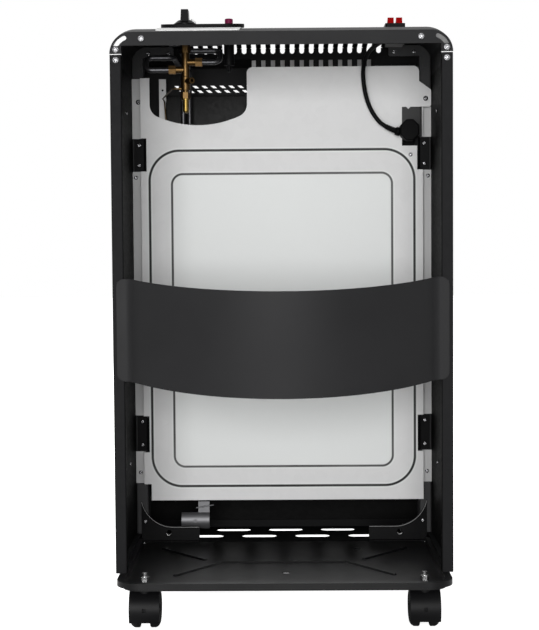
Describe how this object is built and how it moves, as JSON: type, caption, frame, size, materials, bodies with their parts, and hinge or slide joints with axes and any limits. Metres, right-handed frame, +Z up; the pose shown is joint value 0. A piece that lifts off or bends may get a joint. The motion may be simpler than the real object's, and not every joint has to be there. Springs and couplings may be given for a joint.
{
  "type": "portable gas cabinet heater",
  "caption": "Tall sheet-metal cabinet heater on twin-wheel casters, open at the back over its gas-bottle bay, with radiant burner, knob, push igniter and rocker switches.",
  "frame": {"origin": "on the floor under the middle of the heater's bounding box", "axes": "+Z up, +Y from the open back towards the heated front, +X to the right as seen from behind"},
  "size_m": [0.42, 0.4476, 0.7798],
  "materials": {
    "black_paint": "satin",
    "dark_paint": "satin",
    "grey_paint": "satin",
    "chrome_wire": "polished",
    "galvanised": "matte",
    "aluminised": "satin",
    "plaque": "matte",
    "quartz": "polished",
    "ceramic_white": "matte",
    "brass": "satin",
    "steel": "satin",
    "knob_plastic": "satin",
    "aluminium_tube": "satin",
    "zinc": "satin",
    "copper": "satin",
    "black_plastic": "matte",
    "crimson_plastic": "gloss",
    "pale_trim": "satin",
    "red_plastic": "gloss",
    "lead_rubber": "satin",
    "plug_rubber": "matte",
    "grey_plate": "matte",
    "chrome_screw": "polished",
    "caster_plastic": "satin",
    "wheel_plastic": "matte"
  },
  "bodies": {
    "cabinet": {"top_cover": "black_paint", "left_side_panel": "black_paint", "right_side_panel": "black_paint", "base_tray": "dark_paint", "front_floor": "dark_paint", "left_post": "grey_paint", "right_post": "grey_paint", "left_gusset": "dark_paint", "right_gusset": "dark_paint", "heat_shield": "dark_paint", "front_fascia": "black_paint", "front_lower_panel": "black_paint", "front_guard": "chrome_wire", "partition_panel": "galvanised", "support_brackets": "dark_paint", "reflector": "galvanised", "burner_bodies": "aluminised", "ceramic_plaques": "plaque", "gas_manifold": "aluminised", "pilot_burner": "aluminised", "burner_brackets": "galvanised", "quartz_tubes": "quartz", "tube_holders": "ceramic_white", "gas_valve_body": "brass", "hose_nozzle": "brass", "gas_pipes": "aluminium_tube", "pipe_nuts": "brass", "valve_bracket": "zinc", "thermocouple_tube": "copper", "piezo_igniter": "black_plastic", "control_trim": "pale_trim", "control_bezel": "black_plastic", "switch_housing": "black_plastic", "power_lead": "lead_rubber", "lead_plug": "plug_rubber", "mains_inlet": "black_plastic", "inlet_plate": "grey_plate", "tilt_switch_bracket": "zinc", "tilt_switch": "steel", "screws": "chrome_screw", "caster_studs": "zinc"},
    "push": {"valve_push_pin": "steel"},
    "knob": {"valve_spindle": "steel", "control_knob": "knob_plastic"},
    "button": {"igniter_button": "crimson_plastic"},
    "left_rocker": {"rocker_left": "red_plastic"},
    "right_rocker": {"rocker_right": "red_plastic"},
    "band": {"retainer_band": "black_paint"},
    "front_left_swivel": {"front_left_caster": "caster_plastic"},
    "front_left_in": {"front_left_wheel_in": "wheel_plastic"},
    "front_left_out": {"front_left_wheel_out": "wheel_plastic"},
    "front_right_swivel": {"front_right_caster": "caster_plastic"},
    "front_right_in": {"front_right_wheel_in": "wheel_plastic"},
    "front_right_out": {"front_right_wheel_out": "wheel_plastic"},
    "rear_left_swivel": {"rear_left_caster": "caster_plastic"},
    "rear_left_in": {"rear_left_wheel_in": "wheel_plastic"},
    "rear_left_out": {"rear_left_wheel_out": "wheel_plastic"},
    "rear_right_swivel": {"rear_right_caster": "caster_plastic"},
    "rear_right_in": {"rear_right_wheel_in": "wheel_plastic"},
    "rear_right_out": {"rear_right_wheel_out": "wheel_plastic"}
  },
  "joints": [
    {"name": "knob_push", "type": "slide", "parent": "cabinet", "child": "push", "axis": [0, 0, -1], "range_m": [0, 0.004], "stiffness_N_per_m": 900, "springref_m": -0.002},
    {"name": "knob_turn", "type": "hinge", "parent": "push", "child": "knob", "pos_m": [-0.123, -0.0483, 0.766], "axis": [0, 0, 1], "range_deg": [0, 230]},
    {"name": "igniter_press", "type": "slide", "parent": "cabinet", "child": "button", "axis": [0, 0, -1], "range_m": [0, 0.006], "stiffness_N_per_m": 1200, "springref_m": -0.002},
    {"name": "left_rocker_tilt", "type": "hinge", "parent": "cabinet", "child": "left_rocker", "pos_m": [0.1402, -0.0483, 0.7565], "axis": [1, 0, 0], "range_deg": [0, 24]},
    {"name": "right_rocker_tilt", "type": "hinge", "parent": "cabinet", "child": "right_rocker", "pos_m": [0.151, -0.0483, 0.7565], "axis": [1, 0, 0], "range_deg": [0, 24]},
    {"name": "band_lift", "type": "slide", "parent": "cabinet", "child": "band", "axis": [0, -0.7071, 0.7071], "range_m": [0, 0.12]},
    {"name": "front_left_turn", "type": "hinge", "parent": "cabinet", "child": "front_left_swivel", "pos_m": [-0.1744, 0.1617, 0.049], "axis": [0, 0, 1], "continuous": true},
    {"name": "front_left_in_roll", "type": "hinge", "parent": "front_left_swivel", "child": "front_left_in", "pos_m": [-0.1744, 0.1717, 0.025], "axis": [1, 0, 0], "continuous": true},
    {"name": "front_left_out_roll", "type": "hinge", "parent": "front_left_swivel", "child": "front_left_out", "pos_m": [-0.1744, 0.1717, 0.025], "axis": [1, 0, 0], "continuous": true},
    {"name": "front_right_turn", "type": "hinge", "parent": "cabinet", "child": "front_right_swivel", "pos_m": [0.1744, 0.1617, 0.049], "axis": [0, 0, 1], "continuous": true},
    {"name": "front_right_in_roll", "type": "hinge", "parent": "front_right_swivel", "child": "front_right_in", "pos_m": [0.1744, 0.1717, 0.025], "axis": [1, 0, 0], "continuous": true},
    {"name": "front_right_out_roll", "type": "hinge", "parent": "front_right_swivel", "child": "front_right_out", "pos_m": [0.1744, 0.1717, 0.025], "axis": [1, 0, 0], "continuous": true},
    {"name": "rear_left_turn", "type": "hinge", "parent": "cabinet", "child": "rear_left_swivel", "pos_m": [-0.1744, -0.1333, 0.049], "axis": [0, 0, 1], "continuous": true},
    {"name": "rear_left_in_roll", "type": "hinge", "parent": "rear_left_swivel", "child": "rear_left_in", "pos_m": [-0.1744, -0.1233, 0.025], "axis": [1, 0, 0], "continuous": true},
    {"name": "rear_left_out_roll", "type": "hinge", "parent": "rear_left_swivel", "child": "rear_left_out", "pos_m": [-0.1744, -0.1233, 0.025], "axis": [1, 0, 0], "continuous": true},
    {"name": "rear_right_turn", "type": "hinge", "parent": "cabinet", "child": "rear_right_swivel", "pos_m": [0.1744, -0.1333, 0.049], "axis": [0, 0, 1], "continuous": true},
    {"name": "rear_right_in_roll", "type": "hinge", "parent": "rear_right_swivel", "child": "rear_right_in", "pos_m": [0.1744, -0.1233, 0.025], "axis": [1, 0, 0], "continuous": true},
    {"name": "rear_right_out_roll", "type": "hinge", "parent": "rear_right_swivel", "child": "rear_right_out", "pos_m": [0.1744, -0.1233, 0.025], "axis": [1, 0, 0], "continuous": true}
  ]
}
